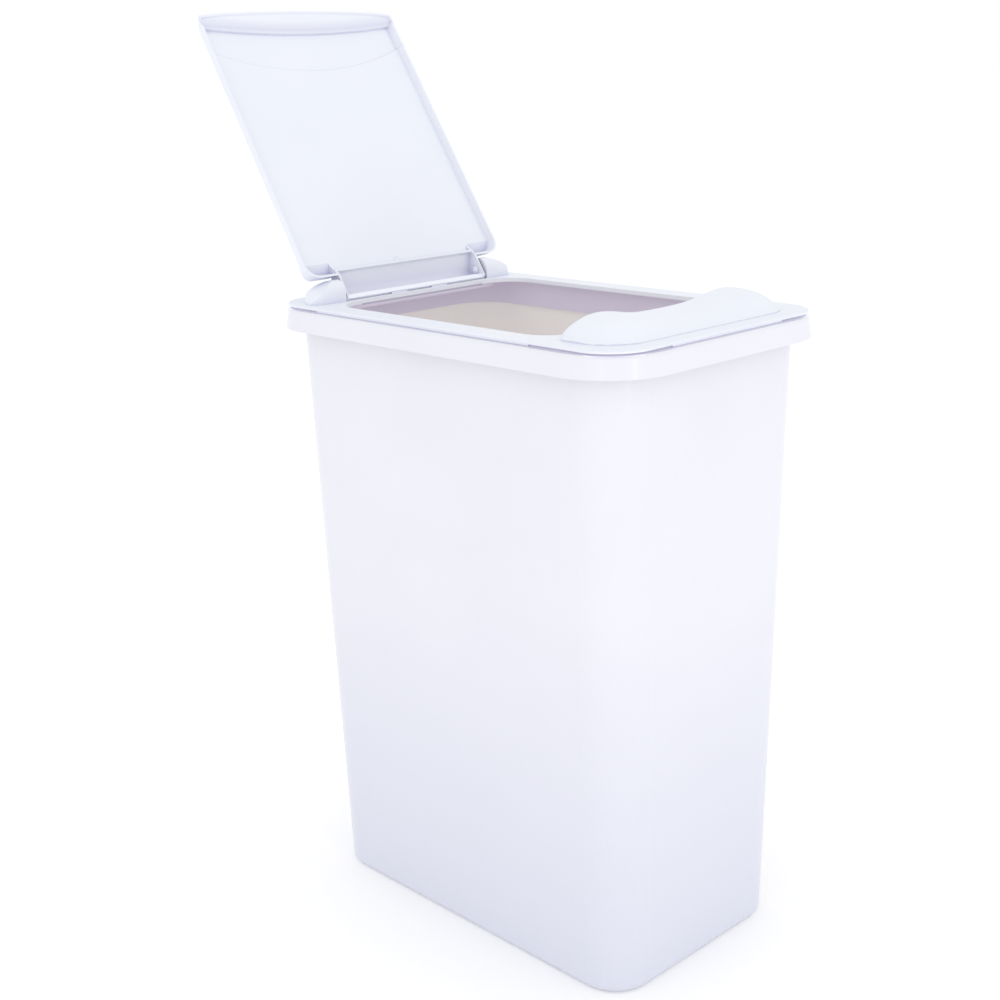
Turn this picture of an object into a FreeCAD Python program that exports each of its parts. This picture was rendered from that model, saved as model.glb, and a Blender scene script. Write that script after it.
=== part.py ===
"""Kitchen-size waste bin: moulded tub, drop-in lid frame and a hinged flap that stands open."""
import FreeCAD, Part
import math
import os

os.makedirs("parts", exist_ok=True)

# Frame: X across the bin, Y along it (hinge towards +Y), Z up, origin at the centre of the base.

# Tub
tub_height = 560.0
tub_half_x = 125.0
tub_half_y = 201.3
tub_slope_x = 0.0249
tub_slope_y = 0.0239
tub_corner_top = 44.0
tub_corner_base = 37.0
tub_wall = 2.2
tub_floor = 2.8
base_edge_radius = 8.0
inside_edge_radius = 6.0

# Turned-over rim of the tub
rim_overhang = 13.9
rim_drop = 17.7
rim_flare = 2.5
rim_wall = 2.0
rim_top_radius = 3.0

# Lid frame: flange, opening and plug skirt
flange_top = 563.6
flange_bottom = 561.0
flange_half_x = 133.0
flange_half_y = 209.5
flange_corner = 38.0
flange_edge_radius = 1.1
bead_width = 2.6
bead_bottom = 560.6
corner_relief_top = 561.7
corner_relief_width = 4.0
relief_reach_x = 64.0
relief_reach_front = 90.0
relief_reach_rear = 67.0
opening_half_x = 110.0
opening_front = -123.0
opening_rear = 149.0
opening_corner = 31.0
opening_lip = 2.0
opening_lip_bottom = 559.6
rail_rear = 156.5
rail_notch_half_x = 76.0
rail_notch_depth = 2.6
rail_notch_corner = 2.0
skirt_half_x = 121.5
skirt_half_y = 197.5
skirt_corner = 40.0
skirt_taper = 0.7
skirt_bottom = 535.0
skirt_wall = 2.0
seat_pad_width = 2.6
seat_pad_length = 12.0
seat_pad_out_x = 129.0
seat_pad_out_y = 205.4

# Hinge
hinge_y = 167.0
hinge_z = 571.2
barrel_radius = 11.5
shell_wall = 2.2
ear_radius = 11.3
ear_inner_x = 88.5
ear_straight_x = 95.0
ear_outer_x = 123.5
ear_shoulder_power = 1.5
ear_end_radius = 10.0
trough_rear = 182.0
trough_floor = 558.4
trough_wall = 2.0
stop_tab_x = 25.0
stop_tab_width = 19.0
stop_gap = 0.4
tab_depth = 1.2
seat_pad_pitch = 110.0
pin_radius = 3.0
pin_clearance = 0.06
pin_head_radius = 3.9
pin_head_height = 1.2
pin_dome_height = 1.8
pin_head_gap = 0.3
pin_depth_in_ear = 12.0
pin_tip_chamfer = 0.6

# Flap, laid out closed: v runs from the hinge axis to the front edge, w is height over the axis
open_angle = 123.0
flap_top = 1.6
flap_rim = -7.3
flap_front = 292.5
flap_front_bow = 1.2
flap_tip_drop = 4.0
flap_tip_corner = 4.0
flap_shoulder_share = 0.62
flap_shoulder_rise = 0.68
flap_half_rear = 120.0
flap_half_front = 116.2
flap_rear = 12.9
flap_wing_corner = 15.0
flap_wall_lean = 2.3
lip_root = 272.5
lip_root_radius = 917.0
lip_cove_depth = 5.2
lip_cove_rise = 3.2
lip_cove_run = 8.0
lip_reach = 26.0
lip_half_turn = 9.0
cheek_outer_x = 86.5
cheek_wall = 2.2
cheek_front = 29.0
cheek_knee = 14.0
barrel_end_angle = 207.5
barrel_lip = 5.8
barrel_lip_thickness = 2.2
fairing_front = 20.0
wing_front = 31.0
wing_crest = 9.0
wing_brow_v = 21.5
wing_brow_w = 7.7
wing_crest_front = 18.5
wing_crest_rear = 15.4
wing_back_w = 5.5
wing_side_lean = 2.8
brow_radius = 300.0
brow_start = 230.5
brow_step = 0.8
brow_margin = 1.2
gusset_x = 72.0
gusset_v = 17.5
gusset_wall = 1.6
gusset_depth = 4.6
gusset_bite = 0.5

# Hump on the front shelf of the frame
hump_half_x = 115.0
hump_front = -191.5
hump_back = -128.5
hump_front_corner = 34.0
hump_back_corner = 14.0
hump_crest_y = -148.0
hump_knob_x = 78.0
hump_knob_height = 18.2
hump_saddle_height = 11.2
hump_knob_spread = 32.0
hump_end_power = 2.0
hump_end_round = 0.75
hump_front_power = 2.8
hump_front_round = 1.0
hump_back_power = 3.0
hump_back_round = 0.6
hump_edge_step = 0.5
hump_margin = 3.0
hump_wall = 2.4
hump_rows = 47
hump_columns = 23

eps = 0.01
over = 1.0


def vec(x, y, z):
    return FreeCAD.Vector(x, y, z)


def arc(a, b, c):
    return Part.Arc(a, b, c).toShape()


def line(a, b):
    return Part.LineSegment(a, b).toShape()


def corner_arc(cx, cy, radius, start_deg, z):
    """Quarter circle about (cx, cy), anticlockwise from start_deg."""
    points = []
    for turn in (0.0, 45.0, 90.0):
        angle = math.radians(start_deg + turn)
        points.append(vec(cx + radius * math.cos(angle), cy + radius * math.sin(angle), z))
    return points


def outline(half_x, front, rear, r_front, r_rear, z):
    """Closed rounded rectangle at height z, symmetric in X."""
    corners = [
        corner_arc(half_x - r_rear, rear - r_rear, r_rear, 0.0, z),
        corner_arc(-half_x + r_rear, rear - r_rear, r_rear, 90.0, z),
        corner_arc(-half_x + r_front, front + r_front, r_front, 180.0, z),
        corner_arc(half_x - r_front, front + r_front, r_front, 270.0, z),
    ]
    edges = []
    for index, points in enumerate(corners):
        edges.append(arc(*points))
        edges.append(line(points[2], corners[(index + 1) % 4][0]))
    return Part.Wire(edges)


def slab(half_x, front, rear, r_front, r_rear, low, high):
    """Straight-sided plate with a rounded-rectangle outline."""
    face = Part.Face(outline(half_x, front, rear, r_front, r_rear, low))
    return face.extrude(vec(0, 0, high - low))


def loft(wires):
    return Part.makeLoft(wires, True, True)


def level_edges(shape, z):
    """Edges of a shape that lie wholly at height z."""
    found = []
    for edge in shape.Edges:
        box = edge.BoundBox
        if abs(box.ZMin - z) < eps and abs(box.ZMax - z) < eps:
            found.append(edge)
    return found


def box_between(low, high):
    size = high - low
    return Part.makeBox(size.x, size.y, size.z, low)


def mirrored(shape):
    return shape.mirror(vec(0, 0, 0), vec(1, 0, 0))


def single(shape):
    """The one solid of a boolean result."""
    return shape.removeSplitter().Solids[0]


# ---------------------------------------------------------------- tub

def tub_outline(z, inset):
    """The drafted wall's outline at height z, moved inwards by inset."""
    drop = tub_height - z
    half_x = tub_half_x - tub_slope_x * drop - inset
    half_y = tub_half_y - tub_slope_y * drop - inset
    share = z / tub_height
    radius = tub_corner_base + (tub_corner_top - tub_corner_base) * share - inset
    return outline(half_x, -half_y, half_y, radius, radius, z)


def tub():
    """One drafted shell with a rounded base edge and a rim turned outwards and down."""
    body = loft([tub_outline(0.0, 0.0), tub_outline(tub_height, 0.0)])
    body = body.makeFillet(base_edge_radius, level_edges(body, 0.0))
    cavity = loft([tub_outline(tub_floor, tub_wall), tub_outline(tub_height + over, tub_wall)])
    cavity = cavity.makeFillet(inside_edge_radius, level_edges(cavity, tub_floor))
    low = tub_height - rim_drop
    half_x = tub_half_x + rim_overhang
    half_y = tub_half_y + rim_overhang
    radius = tub_corner_top + rim_overhang
    flared = outline(half_x + rim_flare, -half_y - rim_flare, half_y + rim_flare,
                     radius + rim_flare, radius + rim_flare, low)
    turned = outline(half_x, -half_y, half_y, radius, radius, tub_height)
    rim = loft([flared, turned])
    rim = rim.makeFillet(rim_top_radius, level_edges(rim, tub_height))
    flared_in = outline(half_x + rim_flare - rim_wall, -half_y - rim_flare + rim_wall,
                        half_y + rim_flare - rim_wall, radius + rim_flare - rim_wall,
                        radius + rim_flare - rim_wall, low - eps)
    turned_in = outline(half_x - rim_wall, -half_y + rim_wall, half_y - rim_wall,
                        radius - rim_wall, radius - rim_wall, tub_height - rim_wall)
    rim = rim.cut(loft([flared_in, turned_in]))
    return single(body.fuse(rim).cut(cavity))


# ---------------------------------------------------------------- lid frame

def ring(half_x, half_y, corner, width, low, high):
    """Upright band that follows a rounded rectangle, width measured inwards."""
    outer = slab(half_x, -half_y, half_y, corner, corner, low, high)
    inner_corner = corner - width
    inner = slab(half_x - width, -half_y + width, half_y - width, inner_corner, inner_corner,
                 low - over, high + over)
    return outer.cut(inner)


def flange():
    """Thin plate that lies over the rim, with its edge beaded down along the straight sides."""
    plate = slab(flange_half_x, -flange_half_y, flange_half_y, flange_corner, flange_corner,
                 flange_bottom, flange_top)
    bead = ring(flange_half_x, flange_half_y, flange_corner, bead_width, bead_bottom, flange_bottom + eps)
    plate = plate.fuse(bead)
    plate = single(plate)
    plate = plate.makeFillet(flange_edge_radius, level_edges(plate, flange_top))
    relief = ring(flange_half_x + over, flange_half_y + over, flange_corner + over,
                  corner_relief_width + over, bead_bottom - over, corner_relief_top)
    for side_x in (-1, 1):
        for side_y, reach_y in ((-1, relief_reach_front), (1, relief_reach_rear)):
            inner = vec(side_x * (flange_half_x - relief_reach_x), side_y * (flange_half_y - reach_y), 0)
            outer = vec(side_x * (flange_half_x + over), side_y * (flange_half_y + over), 0)
            low = vec(min(inner.x, outer.x), min(inner.y, outer.y), bead_bottom - over)
            high = vec(max(inner.x, outer.x), max(inner.y, outer.y), flange_top)
            plate = plate.cut(relief.common(box_between(low, high)))
    return plate


def seat_pads():
    """Low pads under the flange that carry the frame on the rim."""
    pads = []
    low = tub_height
    height = flange_bottom + eps - low
    for side in (-1, 1):
        for along in (-seat_pad_pitch, 0.0, seat_pad_pitch):
            x = side * seat_pad_out_x - seat_pad_width / 2
            y = along - seat_pad_length / 2
            pads.append(Part.makeBox(seat_pad_width, seat_pad_length, height, vec(x, y, low)))
        x = -seat_pad_length / 2
        y = side * seat_pad_out_y - seat_pad_width / 2
        pads.append(Part.makeBox(seat_pad_length, seat_pad_width, height, vec(x, y, low)))
    return pads


def plug_skirt():
    """Drafted skirt that hangs inside the mouth of the tub."""
    def at(z, inset, taper):
        hx = skirt_half_x - inset - taper
        hy = skirt_half_y - inset - taper
        return outline(hx, -hy, hy, skirt_corner - inset, skirt_corner - inset, z)
    outer = loft([at(skirt_bottom, 0.0, skirt_taper), at(flange_bottom + eps, 0.0, 0.0)])
    inner = loft([at(skirt_bottom - over, skirt_wall, skirt_taper),
                  at(flange_bottom + over, skirt_wall, 0.0)])
    return outer.cut(inner)


def opening_lip_ring():
    """Short turned-down edge round the opening."""
    half_x = opening_half_x + opening_lip
    outer = slab(half_x, opening_front - opening_lip, opening_rear + opening_lip,
                 opening_corner + opening_lip, opening_corner + opening_lip,
                 opening_lip_bottom, flange_bottom + eps)
    return outer


def opening_cut():
    """What is taken away for the opening, with the shallow notch along the hinge rail."""
    low = opening_lip_bottom - over
    high = flange_top + over
    hole = slab(opening_half_x, opening_front, opening_rear, opening_corner, opening_corner,
                low, high)
    notch = slab(rail_notch_half_x, opening_rear - opening_corner, opening_rear + rail_notch_depth,
                 rail_notch_corner, rail_notch_corner, low, high)
    return hole.fuse(notch).removeSplitter()


def ear():
    """Right-hand hinge ear: a round-topped block whose outer end rolls down to the flange."""
    centre = vec(ear_inner_x, hinge_y, hinge_z)
    length = ear_outer_x - ear_inner_x
    base = flange_bottom
    round_top = Part.makeCylinder(ear_radius, length, centre, vec(1, 0, 0))
    block = box_between(vec(ear_inner_x, hinge_y - ear_radius, base),
                        vec(ear_outer_x, hinge_y + ear_radius, hinge_z))
    body = round_top.fuse(block)
    body = body.cut(box_between(vec(ear_inner_x - over, hinge_y - 2 * ear_radius, base - 20.0),
                                vec(ear_outer_x + over, hinge_y + 2 * ear_radius, base)))
    top = hinge_z + ear_radius
    start = ear_inner_x - over
    shoulder = Part.Wire([
        line(vec(start, 0, base - over), vec(start, 0, top)),
        line(vec(start, 0, top), vec(ear_straight_x, 0, top)),
        shoulder_curve(top),
        line(vec(ear_outer_x, 0, flange_top), vec(ear_outer_x, 0, base - over)),
        line(vec(ear_outer_x, 0, base - over), vec(start, 0, base - over)),
    ])
    side = Part.Face(shoulder).extrude(vec(0, 4 * ear_radius, 0))
    side.translate(vec(0, hinge_y - 2 * ear_radius, 0))
    plan = slab(ear_outer_x, hinge_y - ear_radius, hinge_y + ear_radius, ear_end_radius, ear_end_radius,
                base - over, top + over)
    return body.common(side).common(plan)


def shoulder_curve(top):
    """Long falling curve from the ear's level top down to the flange."""
    steps = 8
    points = []
    for step in range(steps + 1):
        angle = math.pi / 2 * (1 - step / steps)
        share_x = math.cos(angle) ** (2 / ear_shoulder_power)
        share_z = math.sin(angle) ** (2 / ear_shoulder_power)
        x = ear_straight_x + (ear_outer_x - ear_straight_x) * share_x
        points.append(vec(x, 0, flange_top + (top - flange_top) * share_z))
    curve = Part.BSplineCurve()
    curve.interpolate(points)
    return curve.toShape()


def trough_solid():
    """Walls and floor of the channel that the barrel turns in."""
    low = trough_floor - trough_wall
    return box_between(vec(-ear_inner_x - trough_wall, opening_rear + 1.0, low),
                       vec(ear_inner_x + trough_wall, trough_rear + trough_wall, flange_bottom + eps))


def trough_cut():
    return box_between(vec(-ear_inner_x, rail_rear, trough_floor),
                       vec(ear_inner_x, trough_rear, hinge_z + 2 * barrel_radius))


def rail_tabs():
    """Two tabs on the rail that reach up to the barrel's free edge when the flap stands open."""
    angle = math.radians(barrel_end_angle - 180.0 + open_angle)
    lip_z = hinge_z + barrel_radius * math.sin(angle + math.pi)
    return [box_between(vec(side * stop_tab_x - stop_tab_width / 2, rail_rear - tab_depth, flange_bottom),
                        vec(side * stop_tab_x + stop_tab_width / 2, rail_rear, lip_z - stop_gap))
            for side in (-1, 1)]


def hump_height(x):
    """Crest height over the flange: two knobs with a saddle between, falling away at the ends."""
    knob = math.exp(-((abs(x) - hump_knob_x) / hump_knob_spread) ** 2)
    if abs(x) <= hump_knob_x:
        return hump_saddle_height + (hump_knob_height - hump_saddle_height) * knob
    far = min(1.0, (abs(x) - hump_knob_x) / (hump_half_x - hump_knob_x))
    return hump_knob_height * (1.0 - far ** hump_end_power) ** hump_end_round


def corner_step(x, radius):
    """How far a rounded corner of the footprint has moved in from the straight edge at x."""
    beyond = min(radius, max(0.0, abs(x) - (hump_half_x - radius)))
    return radius - math.sqrt(radius ** 2 - beyond ** 2)


def hump_profile(x, y):
    """Share of the crest height at (x, y): steep at the back, long and round at the front."""
    if y < hump_crest_y:
        front = hump_front + corner_step(x, hump_front_corner)
        share = min(1.0, (hump_crest_y - y) / (hump_crest_y - front))
        return (1.0 - share ** hump_front_power) ** hump_front_round
    back = hump_back - corner_step(x, hump_back_corner)
    share = min(1.0, (y - hump_crest_y) / (back - hump_crest_y))
    return (1.0 - share ** hump_back_power) ** hump_back_round


def under_hump(sink):
    """Everything below the hump's skin, with the skin lowered by sink."""
    rows = []
    low_y = hump_front - hump_margin
    high_y = hump_back + hump_margin
    for i in range(hump_rows):
        x = (hump_half_x + hump_margin) * (2 * i / (hump_rows - 1) - 1)
        row = []
        for j in range(hump_columns):
            y = low_y + (high_y - low_y) * j / (hump_columns - 1)
            rise = max(0.0, hump_height(x) - hump_edge_step) * hump_profile(x, y)
            row.append(vec(x, y, flange_top + hump_edge_step + rise - sink))
        rows.append(row)
    skin = Part.BSplineSurface()
    skin.interpolate(rows)
    return skin.toShape().extrude(vec(0, 0, -3 * hump_knob_height))


def hump(inset):
    """Solid hump, or the hollow inside it when inset is the wall."""
    base = flange_bottom - (0.0 if inset == 0.0 else over)
    plan = slab(hump_half_x - inset, hump_front + inset, hump_back - inset,
                hump_front_corner - inset, hump_back_corner - inset,
                base, flange_top + 2 * hump_knob_height)
    return plan.common(under_hump(inset))


def lid_frame():
    """Flange, skirt, trough, ears and hump are one moulding."""
    body = flange()
    body = body.fuse([plug_skirt(), opening_lip_ring(), trough_solid()] + seat_pads())
    right_ear = ear()
    body = body.fuse([right_ear, mirrored(right_ear), hump(0.0)])
    body = body.cut([opening_cut(), trough_cut(), hump(hump_wall)])
    body = body.fuse(rail_tabs())
    bore_start = ear_inner_x - over
    for side in (-1, 1):
        bore = Part.makeCylinder(pin_radius, pin_depth_in_ear + over,
                                 vec(side * bore_start, hinge_y, hinge_z), vec(side, 0, 0))
        body = body.cut(bore)
    return single(body)


# ---------------------------------------------------------------- hinge pins

def hinge_pin(side):
    """Headed pin: pushed through the flap's cheek from inside and held in the ear."""
    head_x = cheek_outer_x - cheek_wall - pin_head_gap
    end_x = ear_inner_x + pin_depth_in_ear
    direction = vec(side, 0, 0)
    head_low = head_x - pin_head_height

    def at(x):
        return vec(side * x, hinge_y, hinge_z)

    shank = Part.makeCylinder(pin_radius, end_x - head_x, at(head_x), direction)
    tip_edges = [e for e in shank.Edges if abs(abs(e.BoundBox.Center.x) - end_x) < eps]
    shank = shank.makeChamfer(pin_tip_chamfer, tip_edges)
    head = Part.makeCylinder(pin_head_radius, pin_head_height, at(head_low), direction)
    ball_radius = (pin_head_radius ** 2 + pin_dome_height ** 2) / (2 * pin_dome_height)
    ball = Part.makeSphere(ball_radius, at(head_low - pin_dome_height + ball_radius))
    reach = 2 * pin_dome_height
    cap = Part.makeCylinder(pin_head_radius, reach, at(head_low - reach), direction)
    dome = ball.common(cap)
    return single(shank.fuse([head, dome]))


# ---------------------------------------------------------------- flap

def flap_point(x, v, w):
    """Point of the closed flap."""
    return vec(x, hinge_y - v, hinge_z + w)


def flap_outline(inset, w):
    """Plan of the flap: straight tapering sides, rounded rear wings and a bowed front edge."""
    rear = flap_rear + inset
    r_wing = flap_wing_corner - inset
    half_rear = flap_half_rear - inset
    half_front = flap_half_front - inset
    slope = (flap_half_front - flap_half_rear) / (flap_front - flap_rear)
    r_tip = flap_tip_corner
    tip_v = flap_front - inset - flap_tip_drop
    side_start = rear + r_wing
    wing_top = half_rear + slope * (side_start - rear)
    wing_c = wing_top - r_wing
    tip_side_v = tip_v - r_tip
    tip_side_x = half_rear + slope * (tip_side_v - rear)
    bend = math.sqrt(0.5)
    right = [
        flap_point(wing_c, rear, w),
        flap_point(wing_c + r_wing * bend, rear + r_wing * (1 - bend), w),
        flap_point(wing_top, side_start, w),
        flap_point(tip_side_x, tip_side_v, w),
        flap_point(tip_side_x - r_tip * (1 - bend), tip_side_v + r_tip * bend, w),
        flap_point(tip_side_x - r_tip, tip_v, w),
    ]
    shoulder_x = half_front * flap_shoulder_share
    front = flap_front - inset
    rise_v = tip_v + flap_shoulder_rise * (front - flap_front_bow - tip_v)
    drop_mid = flap_point((tip_side_x - r_tip + shoulder_x) / 2, rise_v, w)
    shoulder = flap_point(shoulder_x, front - flap_front_bow, w)
    crown = flap_point(0.0, front, w)

    def left(p):
        return vec(-p.x, p.y, p.z)

    edges = [
        line(left(right[0]), right[0]),
        arc(right[0], right[1], right[2]),
        line(right[2], right[3]),
        arc(right[3], right[4], right[5]),
        arc(right[5], drop_mid, shoulder),
        arc(shoulder, crown, left(shoulder)),
        arc(left(shoulder), left(drop_mid), left(right[5])),
        arc(left(right[5]), left(right[4]), left(right[3])),
        line(left(right[3]), left(right[2])),
        arc(left(right[2]), left(right[1]), left(right[0])),
    ]
    return Part.Wire(edges)


def side_profile(points, low_x, high_x):
    """Straight-edged (v, w) profile drawn out along X."""
    wire = Part.makePolygon([flap_point(low_x, v, w) for v, w in points + points[:1]])
    return Part.Face(wire).extrude(vec(high_x - low_x, 0, 0))


def front_scoop(raise_by):
    """Concave step that turns the flap's front into a finger lip, bowed in plan."""
    root = lip_root - raise_by
    high = flap_top + over
    low = flap_top - lip_cove_depth - raise_by
    tip = flap_rim + shell_wall - raise_by

    def at(v, w):
        return flap_point(0.0, root + v, w)

    bend = math.sqrt(0.5)
    knee = at(lip_cove_run * (1 - bend), low + lip_cove_rise * (1 - bend))
    wire = Part.Wire([
        line(at(0.0, high), at(0.0, low + lip_cove_rise)),
        arc(at(0.0, low + lip_cove_rise), knee, at(lip_cove_run, low)),
        line(at(lip_cove_run, low), at(lip_reach, tip)),
        line(at(lip_reach, tip), at(lip_reach, high)),
        line(at(lip_reach, high), at(0.0, high)),
    ])
    pivot = at(lip_root_radius, 0.0)
    face = Part.Face(wire)
    face.rotate(pivot, vec(0, 0, 1), -lip_half_turn)
    return face.revolve(pivot, vec(0, 0, 1), 2 * lip_half_turn)


def barrel_profile(radius, front, level):
    """Round back and top about the axis, then a straight fairing down to the panel."""
    distance = math.hypot(front, level)
    start = math.atan2(level, front) + math.acos(radius / distance)
    end = math.radians(barrel_end_angle)
    middle = (start + end) / 2
    return start, middle, end


def barrel_face(radius, front, level, x):
    """Filled (v, w) section of the barrel."""
    start, middle, end = barrel_profile(radius, front, level)

    def on(angle):
        return flap_point(x, radius * math.cos(angle), radius * math.sin(angle))

    low = radius * math.sin(end)
    wire = Part.Wire([
        line(flap_point(x, front, level), on(start)),
        arc(on(start), on(middle), on(end)),
        line(on(end), flap_point(x, front, low)),
        line(flap_point(x, front, low), flap_point(x, front, level)),
    ])
    return Part.Face(wire)


def wing_bulge(inset):
    """Raised rear corner of the flap beside a cheek, solid (right-hand side)."""
    level = flap_top - inset
    front = wing_front - inset
    rear = flap_rear + inset
    foot = level - shell_wall / 4
    profile = [(front, level), (wing_brow_v - inset, wing_brow_w - inset),
               (wing_crest_front - inset, wing_crest - inset), (wing_crest_rear + inset, wing_crest - inset),
               (rear, wing_back_w - inset), (rear, foot), (front, foot)]
    low_x = cheek_outer_x if inset else cheek_outer_x - cheek_wall
    block = side_profile(profile, low_x, flap_half_rear + over)
    low = flap_outline(inset + flap_wall_lean, level - over)
    high = flap_outline(inset + flap_wall_lean + wing_side_lean, wing_crest + over)
    return block.common(loft([low, high]))


def brow(level, height, inset):
    """Thin layer over the front of the panel, bounded by a smile-shaped arc."""
    centre = flap_point(0.0, brow_start + brow_radius, level)
    disc = Part.makeCylinder(brow_radius, height, centre, vec(0, 0, 1))
    face = Part.Face(flap_outline(inset, level))
    return disc.common(face.extrude(vec(0, 0, height)))


def flap_shell():
    """Shallow tray, open below, with the scooped front lip."""
    top_inset = flap_wall_lean
    outer = loft([flap_outline(0.0, flap_rim), flap_outline(top_inset, flap_top)])
    outer = outer.fuse(brow(flap_top - eps, brow_step + eps, top_inset + brow_margin)).removeSplitter()
    inside_top = flap_top - shell_wall
    inner = loft([flap_outline(shell_wall, flap_rim - eps), flap_outline(top_inset + shell_wall, inside_top)])
    inner = inner.fuse(brow(inside_top - eps, brow_step + eps, top_inset + brow_margin + shell_wall))
    outer = outer.cut(front_scoop(0.0))
    inner = inner.cut(front_scoop(shell_wall))
    return outer, inner


def cheek():
    """Right-hand plate at the barrel's end that takes the pin."""
    low_x = cheek_outer_x - cheek_wall
    disc = Part.makeCylinder(barrel_radius, cheek_wall, flap_point(low_x, 0.0, 0.0), vec(1, 0, 0))
    reach = 2 * barrel_radius
    keep = side_profile([(-reach, flap_rim), (reach, flap_rim), (reach, reach), (-reach, reach)],
                        low_x - over, cheek_outer_x + over)
    disc = disc.common(keep)
    panel = flap_top - shell_wall / 2
    web = side_profile([(0.0, flap_rim), (cheek_knee, flap_rim), (cheek_front, panel), (0.0, panel)],
                       low_x, cheek_outer_x)
    fill = barrel_face(barrel_radius, fairing_front, flap_top, low_x).extrude(vec(cheek_wall, 0, 0))
    plate = disc.fuse([web, fill])
    hole = Part.makeCylinder(pin_radius + pin_clearance, cheek_wall + 2 * over,
                             flap_point(low_x - over, 0.0, 0.0), vec(1, 0, 0))
    return plate, hole


def gusset():
    """Small triangular rib that stiffens the cheek against the panel."""
    top = flap_top - shell_wall
    inner_x = cheek_outer_x - cheek_wall + gusset_bite
    wire = Part.makePolygon([
        flap_point(gusset_x, gusset_v, top + gusset_bite),
        flap_point(gusset_x, gusset_v, top),
        flap_point(inner_x, gusset_v, top - gusset_depth),
        flap_point(inner_x, gusset_v, top + gusset_bite),
        flap_point(gusset_x, gusset_v, top + gusset_bite),
    ])
    return Part.Face(wire).extrude(vec(0, -gusset_wall, 0))


def barrel_lip_bar():
    """Thickened free edge of the barrel."""
    bar = Part.makeBox(2 * cheek_outer_x, barrel_lip, barrel_lip_thickness,
                       vec(-cheek_outer_x, hinge_y + barrel_radius - barrel_lip, hinge_z))
    bar.rotate(vec(0, hinge_y, hinge_z), vec(1, 0, 0), -(barrel_end_angle - 180.0))
    return bar


def flap_lid():
    """Tray, half-round barrel with its cheeks, raised wings, in the open pose."""
    outer, inner = flap_shell()
    low_x = -cheek_outer_x
    length = 2 * cheek_outer_x
    slot = box_between(vec(low_x, hinge_y - fairing_front + eps, hinge_z - 2 * barrel_radius),
                       vec(-low_x, hinge_y + 2 * barrel_radius, hinge_z + 2 * barrel_radius))
    ridge = barrel_face(barrel_radius, fairing_front, flap_top, low_x).extrude(vec(length, 0, 0))
    inside_radius = barrel_radius - shell_wall
    inside_x = cheek_outer_x - cheek_wall
    hollow = barrel_face(inside_radius, fairing_front - shell_wall, flap_top - shell_wall, -inside_x)
    hollow = hollow.extrude(vec(2 * inside_x, 0, 0))
    mouth = hinge_z + inside_radius * math.sin(math.radians(barrel_end_angle)) + eps
    sweep = box_between(vec(-inside_x, hinge_y - fairing_front + shell_wall, hinge_z - 2 * barrel_radius),
                        vec(inside_x, hinge_y + 2 * barrel_radius, mouth))
    bulge = wing_bulge(0.0)
    hollow_bulge = wing_bulge(shell_wall)
    plate, hole = cheek()
    ribs = gusset()
    body = outer.fuse([bulge, mirrored(bulge)]).cut([inner, hollow_bulge, mirrored(hollow_bulge)])
    body = body.cut(slot)
    body = body.fuse(ridge).cut([hollow, sweep])
    body = body.fuse([barrel_lip_bar(), plate, mirrored(plate), ribs, mirrored(ribs)])
    body = body.cut([hole, mirrored(hole)])
    body = single(body)
    body.rotate(vec(0, hinge_y, hinge_z), vec(1, 0, 0), -open_angle)
    return body


parts = {
    "tub": tub(),
    "lid_frame": lid_frame(),
    "flap_lid": flap_lid(),
    "hinge_pin_left": hinge_pin(-1),
    "hinge_pin_right": hinge_pin(1),
}

for name, shape in parts.items():
    print(name, "valid", shape.isValid(), "volume cm3", round(shape.Volume / 1000.0, 1))
    shape.exportStep("parts/" + name + ".step")
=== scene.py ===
import math

import bpy
from mathutils import Matrix, Vector


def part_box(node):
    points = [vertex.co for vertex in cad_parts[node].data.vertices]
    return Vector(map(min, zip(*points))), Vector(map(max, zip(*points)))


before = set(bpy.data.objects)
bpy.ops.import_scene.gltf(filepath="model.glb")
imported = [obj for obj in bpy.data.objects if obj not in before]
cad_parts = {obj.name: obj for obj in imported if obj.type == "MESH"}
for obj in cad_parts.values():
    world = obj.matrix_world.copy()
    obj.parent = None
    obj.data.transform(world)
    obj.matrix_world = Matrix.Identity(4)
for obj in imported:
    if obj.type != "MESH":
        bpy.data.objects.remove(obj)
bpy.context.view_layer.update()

# Camera: 36 mm sensor, aimed a little down at the front left corner, with a slight roll
CAMERA_PLACE = Vector((-0.9531, -0.9357, 0.7768))
CAMERA_YAW = math.radians(43.91)
CAMERA_PITCH = math.radians(16.30)
CAMERA_ROLL = math.radians(-1.63)
CAMERA_LENS_MM = 55.12
CAMERA_CLIP = (0.05, 50.0)
SENSOR_MM = 36.0

# Colours, linear
COOL_WHITE = (0.822, 0.827, 0.893)
COOL_WHITE_SHADE = (0.805, 0.810, 0.880)
LID_WHITE = (0.850, 0.875, 0.945)
LID_WHITE_SHADE = (0.830, 0.858, 0.932)
LOW_SHADE = (0.690, 0.705, 0.810)
WARM_INSIDE_PAINTED_SHADE = (0.56, 0.535, 0.525)
WARM_LIGHT = (0.80, 0.765, 0.755)
LAVENDER_SKIRT_PAINTED_SHADE = (0.48, 0.445, 0.54)
LAVENDER_LIGHT = (0.78, 0.72, 0.86)
CREASE_PAINTED_SHADE = (0.42, 0.40, 0.66)
GROOVE_PAINTED_SHADE = (0.66, 0.60, 0.78)
LINE_PAINTED_SHADE = (0.35, 0.33, 0.48)
FLOOR_WHITE = (0.95, 0.95, 0.95)
FLOOR_SHADE = (0.93, 0.93, 0.93)
STUDIO_WHITE = (1.0, 1.0, 1.0, 1.0)
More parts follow.
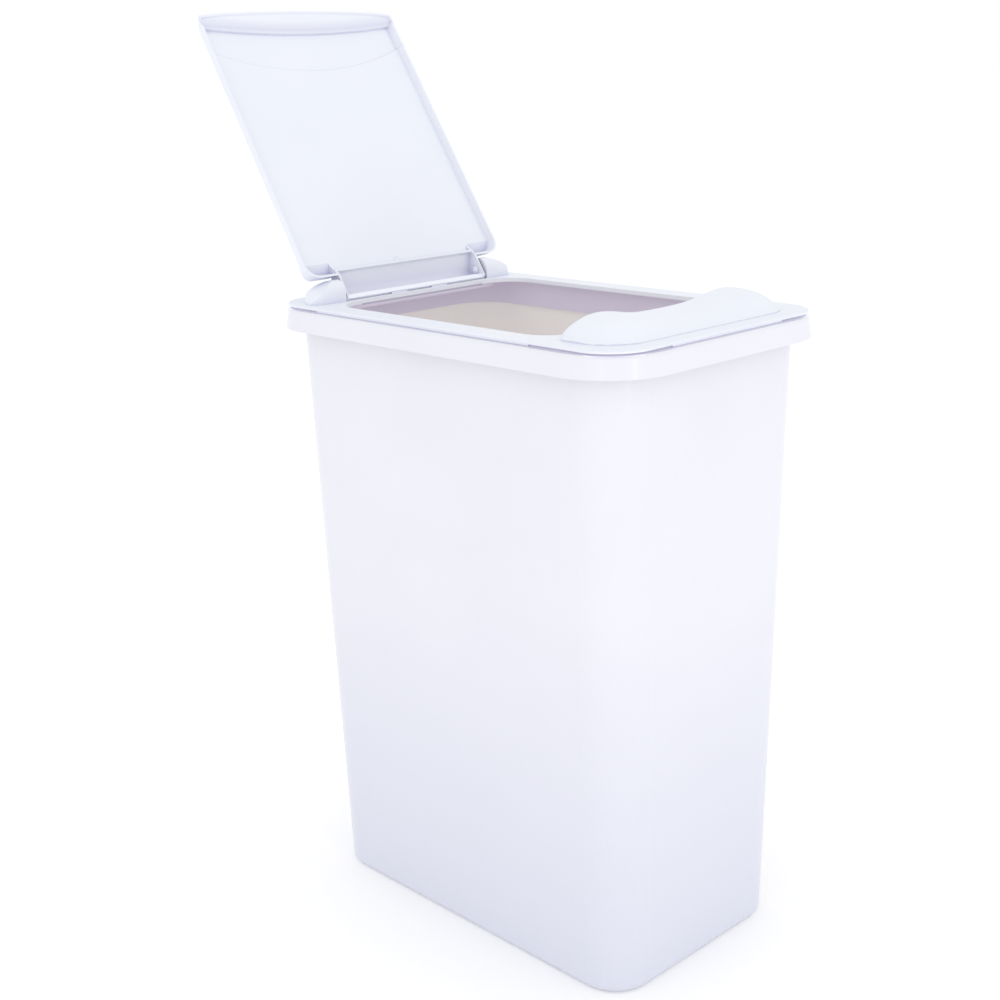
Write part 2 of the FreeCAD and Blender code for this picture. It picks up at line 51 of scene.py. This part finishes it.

# Where the painted shade and painted glow begin and end, in metres
SHADE_TOP_Z = 0.34
INSIDE_FLOOR_Z = 0.012
SKIRT_TOP_Z = 0.5606
TROUGH_HALF_X = 0.093
TROUGH_FRONT_Y = 0.150
TROUGH_REAR_Y = 0.190
RIM_TOP_Z = 0.5594
FLANGE_HALF_X = 0.1335
FLANGE_HALF_Y = 0.2100
CREASE_REACH = 0.014
SKIRT_FADE = 0.0008
UPWARD = 0.5
INWARD_FROM = -0.01
INWARD_FULL = -0.03

# Plastic surface: cloudy colour, fine grain and the strength of the painted shade in creases
CLOUD_SCALE = 9.0
CLOUD_DETAIL = 3.0
CLOUD_LOW = 0.35
CLOUD_HIGH = 0.65
GRAIN_SCALE = 1400.0
GRAIN_DETAIL = 2.0
GRAIN_ROUGHNESS = 0.10
GRAIN_STRENGTH = 0.06
GRAIN_DEPTH = 0.0002
CREASE_OPEN = 0.80
CREASE_CLOSED = 0.10
CREASE_SHADE_STRENGTH = 0.60
TUB_ROUGHNESS = 0.22
LID_ROUGHNESS = 0.38
PIN_ROUGHNESS = 0.30

# Painted light: emission standing in for light through the thin walls
INSIDE_GLOW = 0.32
SKIRT_GLOW = 0.22
BARREL_EDGE_GLOW = 0.06

# Studio
STRIP_SIZE = (0.10, 1.7)
STRIP_TARGET = (-0.11, -0.19, 0.45)
STRIP_FRONT_PLACE = (-0.57, -2.33, 0.75)
STRIP_FRONT_WATTS = 3.2
STRIP_LEFT_PLACE = (-2.05, -1.21, 0.75)
STRIP_LEFT_WATTS = 1.5
FLOOR_HALF = 30
FLOOR_NOISE_SCALE = 3.0
FLOOR_NOISE_DETAIL = 2.0
FLOOR_ROUGHNESS = 0.9
FLOOR_GLOW = 0.12

# Flap, described from its hinge line with the flap open
pin_low, pin_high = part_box("hinge_pin_left")
HINGE = Vector((0.0, (pin_low[1] + pin_high[1]) / 2, (pin_low[2] + pin_high[2]) / 2))
OPEN_ANGLE = math.radians(123.0)
PANEL_DIRECTION = Vector((0.0, -math.cos(OPEN_ANGLE), math.sin(OPEN_ANGLE)))
PANEL_INSIDE = Vector((0.0, -math.sin(OPEN_ANGLE), -math.cos(OPEN_ANGLE)))
INNER_FACE_FADE = 0.2
LIP_RADIUS = 0.917
LIP_REACH = 0.2725
LIP_CENTRE = HINGE + PANEL_DIRECTION * (LIP_REACH + LIP_RADIUS)
LIP_SHADE_WIDTH = 0.010
LIP_SHADE_EDGE = 0.003
LIP_SHADE_TINT = 0.30
BROW_RADIUS = 0.300
BROW_REACH = 0.5305
BROW_CENTRE = HINGE + PANEL_DIRECTION * BROW_REACH
BROW_TINT = 0.08
GROOVE_RADIUS = 0.0205
GROOVE_TOP_Z = 0.014
GROOVE_TINT_LEAST = 0.06
GROOVE_TINT_RISE = 0.24
BARREL_EDGE_DROP = 0.0030
GATE_REACH = 0.0225
GATE_ASIDE = Vector((-0.007, 0.0, 0.0))
GATE_MARK = HINGE + PANEL_DIRECTION * GATE_REACH + GATE_ASIDE
GATE_RADIUS = 0.0030
GATE_TINT = 0.12
LINE_HALF_WIDTH = 0.0006


class Graph:
    """Small helper that wires up one material."""

    def __init__(self, name):
        self.material = bpy.data.materials.new(name)
        self.material.use_nodes = True
        self.tree = self.material.node_tree
        self.shader = self.tree.nodes["Principled BSDF"]
        self.coords = self.tree.nodes.new("ShaderNodeTexCoord")
        self.place = self.split(self.coords.outputs["Object"])

    def link(self, value, socket):
        if isinstance(value, bpy.types.NodeSocket):
            self.tree.links.new(value, socket)
        else:
            socket.default_value = value

    def split(self, vector):
        node = self.tree.nodes.new("ShaderNodeSeparateXYZ")
        self.link(vector, node.inputs[0])
        return node.outputs

    def math(self, operation, *values):
        node = self.tree.nodes.new("ShaderNodeMath")
        node.operation = operation
        for value, socket in zip(values, node.inputs):
            self.link(value, socket)
        return node.outputs[0]

    def vector(self, operation, first, second, output):
        node = self.tree.nodes.new("ShaderNodeVectorMath")
        node.operation = operation
        self.link(first, node.inputs[0])
        self.link(second, node.inputs[1])
        return node.outputs[output]

    def ramp(self, value, low, high):
        """0 below low, 1 above high, straight in between (low may be the larger)."""
        node = self.tree.nodes.new("ShaderNodeMapRange")
        self.link(value, node.inputs["Value"])
        node.inputs["From Min"].default_value = low
        node.inputs["From Max"].default_value = high
        return node.outputs["Result"]

    def mix(self, factor, first, second):
        node = self.tree.nodes.new("ShaderNodeMix")
        node.data_type = "RGBA"
        self.link(factor, node.inputs["Factor"])
        for value, socket in ((first, node.inputs["A"]), (second, node.inputs["B"])):
            self.link(value if isinstance(value, bpy.types.NodeSocket) else (*value, 1.0), socket)
        return node.outputs["Result"]

    def noise(self, scale, detail):
        node = self.tree.nodes.new("ShaderNodeTexNoise")
        self.link(self.coords.outputs["Object"], node.inputs["Vector"])
        node.inputs["Scale"].default_value = scale
        node.inputs["Detail"].default_value = detail
        return node.outputs["Fac"]

    def beyond_circle(self, centre, radius):
        """Distance outside a circle about centre, measured in the flap's plane."""
        offset = self.vector("SUBTRACT", self.coords.outputs["Object"], tuple(centre), "Vector")
        along = self.vector("DOT_PRODUCT", offset, tuple(PANEL_DIRECTION), "Value")
        across = self.split(offset)["X"]
        along_squared = self.math("MULTIPLY", along, along)
        across_squared = self.math("MULTIPLY", across, across)
        squared = self.math("ADD", along_squared, across_squared)
        return self.math("SUBTRACT", self.math("SQRT", squared), radius)

    def ring_mark(self, centre, radius):
        """1 on a thin ring of that radius about centre."""
        gap = self.math("ABSOLUTE", self.beyond_circle(centre, radius))
        return self.ramp(gap, 2 * LINE_HALF_WIDTH, LINE_HALF_WIDTH)


def plastic(name, light, shade, roughness, graph_extra=None):
    """Moulded plastic: faint cloudy colour, fine grain in the roughness and the surface, painted shade
    in creases.
    """
    graph = Graph(name)
    cloud = graph.ramp(graph.noise(CLOUD_SCALE, CLOUD_DETAIL), CLOUD_LOW, CLOUD_HIGH)
    color = graph.mix(cloud, light, shade)
    grain = graph.noise(GRAIN_SCALE, GRAIN_DETAIL)
    rough = graph.math("MULTIPLY_ADD", grain, GRAIN_ROUGHNESS, roughness - GRAIN_ROUGHNESS / 2)
    graph.link(rough, graph.shader.inputs["Roughness"])
    bump = graph.tree.nodes.new("ShaderNodeBump")
    bump.inputs["Strength"].default_value = GRAIN_STRENGTH
    bump.inputs["Distance"].default_value = GRAIN_DEPTH
    graph.link(grain, bump.inputs["Height"])
    graph.link(bump.outputs["Normal"], graph.shader.inputs["Normal"])
    color = crease_painted_shade(graph, color)
    if graph_extra:
        color = graph_extra(graph, color)
    graph.link(color, graph.shader.inputs["Base Color"])
    return graph.material


def crease_painted_shade(graph, color):
    """Painted violet shade that gathers in inside corners and narrow gaps."""
    node = graph.tree.nodes.new("ShaderNodeAmbientOcclusion")
    node.inputs["Distance"].default_value = CREASE_REACH
    closed = graph.ramp(node.outputs["AO"], CREASE_OPEN, CREASE_CLOSED)
    return graph.mix(graph.math("MULTIPLY", closed, CREASE_SHADE_STRENGTH), color, CREASE_PAINTED_SHADE)


def glow(graph, mask, color, strength):
    """Painted light: emission standing in for light the thin wall lets through, only where mask is 1.
    """
    graph.shader.inputs["Emission Color"].default_value = (*color, 1.0)
    graph.link(graph.math("MULTIPLY", mask, strength), graph.shader.inputs["Emission Strength"])


def facing_inwards(graph):
    """1 where an upright wall faces the middle of the bin."""
    flat = graph.vector("MULTIPLY", graph.coords.outputs["Object"], (1.0, 1.0, 0.0), "Vector")
    facing = graph.vector("DOT_PRODUCT", flat, graph.coords.outputs["Normal"], "Value")
    return graph.ramp(facing, INWARD_FROM, INWARD_FULL)


def tub_details(graph, color):
    """Painted shade: greyer towards the floor outside, warm and darker on the wall and floor inside; a
    painted warm glow inside and on the rim's top in the gap.
    """
    up = graph.math("GREATER_THAN", graph.split(graph.coords.outputs["Normal"])["Z"], UPWARD)
    floor = graph.math("MULTIPLY", up, graph.math("LESS_THAN", graph.place["Z"], INSIDE_FLOOR_Z))
    inside = graph.math("MAXIMUM", facing_inwards(graph), floor)
    # Painted shade: darker towards the floor
    low = graph.ramp(graph.place["Z"], SHADE_TOP_Z, 0.0)
    color = graph.mix(low, color, LOW_SHADE)
    # Painted warm shade on the inward walls and the floor inside
    color = graph.mix(inside, color, WARM_INSIDE_PAINTED_SHADE)
    # Painted light: warm glow inside and on the rim's top in the gap under the flange
    gap = graph.math("GREATER_THAN", graph.place["Z"], RIM_TOP_Z)
    for axis, limit in (("X", FLANGE_HALF_X), ("Y", FLANGE_HALF_Y)):
        near = graph.math("LESS_THAN", graph.math("ABSOLUTE", graph.place[axis]), limit)
        gap = graph.math("MULTIPLY", gap, near)
    glow(graph, graph.math("MAXIMUM", inside, gap), WARM_LIGHT, INSIDE_GLOW)
    return color


def frame_details(graph, color):
    """Painted lavender shade on the skirt's inside, and a painted glow there standing in for light
    through the wall, apart from the hinge channel.
    """
    under = graph.ramp(graph.place["Z"], SKIRT_TOP_Z, SKIRT_TOP_Z - SKIRT_FADE)
    across = graph.math("LESS_THAN", graph.math("ABSOLUTE", graph.place["X"]), TROUGH_HALF_X)
    behind = graph.math("GREATER_THAN", graph.place["Y"], TROUGH_FRONT_Y)
    before = graph.math("LESS_THAN", graph.place["Y"], TROUGH_REAR_Y)
    trough = graph.math("MULTIPLY", across, graph.math("MULTIPLY", behind, before))
    under = graph.math("MULTIPLY", under, facing_inwards(graph))
    mask = graph.math("MULTIPLY", under, graph.math("SUBTRACT", 1.0, trough))
    # Painted lavender shade on the skirt's inside, painted glow below it
    color = graph.mix(under, color, LAVENDER_SKIRT_PAINTED_SHADE)
    glow(graph, mask, LAVENDER_LIGHT, SKIRT_GLOW)
    return color


def flap_details(graph, color):
    """Painted shade by the lip's step and in the groove by the hinge, a painted lit strip with a
    painted glow on the lower front of the barrel, and faint painted shade lines on the inner face.
    """
    inward = graph.vector("DOT_PRODUCT", graph.coords.outputs["Normal"], tuple(PANEL_INSIDE), "Value")
    inner_face = graph.ramp(inward, 0.0, INNER_FACE_FADE)
    # Painted shade along the lip's step on the inner face
    beyond = graph.beyond_circle(LIP_CENTRE, LIP_RADIUS)
    rise = graph.ramp(beyond, -LIP_SHADE_WIDTH, 0.0)
    lip = graph.math("MULTIPLY", rise, graph.ramp(beyond, LIP_SHADE_EDGE, 0.0))
    lip = graph.math("MULTIPLY", graph.math("MULTIPLY", lip, inner_face), LIP_SHADE_TINT)
    color = graph.mix(lip, color, CREASE_PAINTED_SHADE)
    # Painted shade in the hinge groove, darker towards its bottom
    spoke = graph.vector("SUBTRACT", graph.coords.outputs["Object"], tuple(HINGE), "Vector")
    spoke = graph.vector("MULTIPLY", spoke, (0.0, 1.0, 1.0), "Vector")
    radius = graph.vector("LENGTH", spoke, (0.0, 0.0, 0.0), "Value")
    groove = graph.math("MULTIPLY", graph.math("LESS_THAN", radius, GROOVE_RADIUS), inner_face)
    place = graph.split(spoke)
    depth = graph.ramp(place["Z"], GROOVE_TOP_Z, 0.0)
    depth = graph.math("MULTIPLY_ADD", depth, GROOVE_TINT_RISE, GROOVE_TINT_LEAST)
    color = graph.mix(graph.math("MULTIPLY", groove, depth), color, GROOVE_PAINTED_SHADE)
    # Painted light: the barrel's lower front is made lid white and glows
    below = graph.math("LESS_THAN", place["Z"], -BARREL_EDGE_DROP)
    edge = graph.math("MULTIPLY", below, graph.math("LESS_THAN", place["Y"], 0.0))
    color = graph.mix(edge, color, LID_WHITE)
    glow(graph, edge, LID_WHITE, BARREL_EDGE_GLOW)
    # Painted shade lines: a thin dark ring along the brow's small step, and a small one at the gate
    # mark
    brow = graph.math("MULTIPLY", graph.ring_mark(BROW_CENTRE, BROW_RADIUS), BROW_TINT)
    gate = graph.math("MULTIPLY", graph.ring_mark(GATE_MARK, GATE_RADIUS), GATE_TINT)
    marks = graph.math("MULTIPLY", graph.math("MAXIMUM", brow, gate), inner_face)
    return graph.mix(marks, color, LINE_PAINTED_SHADE)


def make_camera():
    data = bpy.data.cameras.new("camera")
    data.sensor_width = SENSOR_MM
    data.lens = CAMERA_LENS_MM
    data.clip_start, data.clip_end = CAMERA_CLIP
    camera = bpy.data.objects.new("camera", data)
    bpy.context.scene.collection.objects.link(camera)
    sin_y, cos_y = math.sin(CAMERA_YAW), math.cos(CAMERA_YAW)
    sin_p, cos_p = math.sin(CAMERA_PITCH), math.cos(CAMERA_PITCH)
    forward = Vector((sin_y * cos_p, cos_y * cos_p, -sin_p))
    right = Vector((cos_y, -sin_y, 0.0))
    up = right.cross(forward)
    rolled_right = right * math.cos(CAMERA_ROLL) + up * math.sin(CAMERA_ROLL)
    rolled_up = up * math.cos(CAMERA_ROLL) - right * math.sin(CAMERA_ROLL)
    turn = Matrix((rolled_right, rolled_up, -forward)).transposed()
    camera.matrix_world = Matrix.Translation(CAMERA_PLACE) @ turn.to_4x4()
    bpy.context.scene.camera = camera


def area_light(name, place, target, size, power):
    data = bpy.data.lights.new(name, "AREA")
    data.shape = "RECTANGLE"
    data.size, data.size_y = size
    data.energy = power
    light = bpy.data.objects.new(name, data)
    light.location = place
    light.rotation_euler = (Vector(target) - Vector(place)).to_track_quat("-Z", "Y").to_euler()
    bpy.context.scene.collection.objects.link(light)


def make_studio():
    """Even white surroundings, two tall strips for the corner's highlights and a floor."""
    world = bpy.data.worlds.new("studio")
    bpy.context.scene.world = world
    world.use_nodes = True
    background = world.node_tree.nodes["Background"]
    background.inputs["Color"].default_value = STUDIO_WHITE
    background.inputs["Strength"].default_value = 1.0
    area_light("strip_front", STRIP_FRONT_PLACE, STRIP_TARGET, STRIP_SIZE, STRIP_FRONT_WATTS)
    area_light("strip_left", STRIP_LEFT_PLACE, STRIP_TARGET, STRIP_SIZE, STRIP_LEFT_WATTS)
    mesh = bpy.data.meshes.new("floor")
    far = FLOOR_HALF
    corners = [(-far, -far, 0), (far, -far, 0), (far, far, 0), (-far, far, 0)]
    mesh.from_pydata(corners, [], [(0, 1, 2, 3)])
    floor = bpy.data.objects.new("floor", mesh)
    bpy.context.scene.collection.objects.link(floor)
    graph = Graph("floor_pale")
    cloud = graph.noise(FLOOR_NOISE_SCALE, FLOOR_NOISE_DETAIL)
    pale = graph.mix(cloud, FLOOR_WHITE, FLOOR_SHADE)
    graph.link(pale, graph.shader.inputs["Base Color"])
    graph.shader.inputs["Roughness"].default_value = FLOOR_ROUGHNESS
    graph.shader.inputs["Specular IOR Level"].default_value = 0.0
    graph.shader.inputs["Emission Color"].default_value = STUDIO_WHITE
    graph.shader.inputs["Emission Strength"].default_value = FLOOR_GLOW
    floor.data.materials.append(graph.material)


make_camera()
make_studio()

materials = {
    "tub": plastic("tub_plastic_look", COOL_WHITE, COOL_WHITE_SHADE, TUB_ROUGHNESS, tub_details),
    "lid_frame": plastic("lid_plastic_look", LID_WHITE, LID_WHITE_SHADE, LID_ROUGHNESS, frame_details),
    "flap_lid": plastic("flap_plastic_look", LID_WHITE, LID_WHITE_SHADE, LID_ROUGHNESS, flap_details),
    "hinge_pin_left": plastic("pin_plastic_look", LID_WHITE, LID_WHITE_SHADE, PIN_ROUGHNESS),
    "hinge_pin_right": plastic("pin_plastic_look_right", LID_WHITE, LID_WHITE_SHADE, PIN_ROUGHNESS),
}
for name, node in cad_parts.items():
    node.data.materials.clear()
    node.data.materials.append(materials[name])

bpy.context.scene.view_settings.view_transform = "Standard"
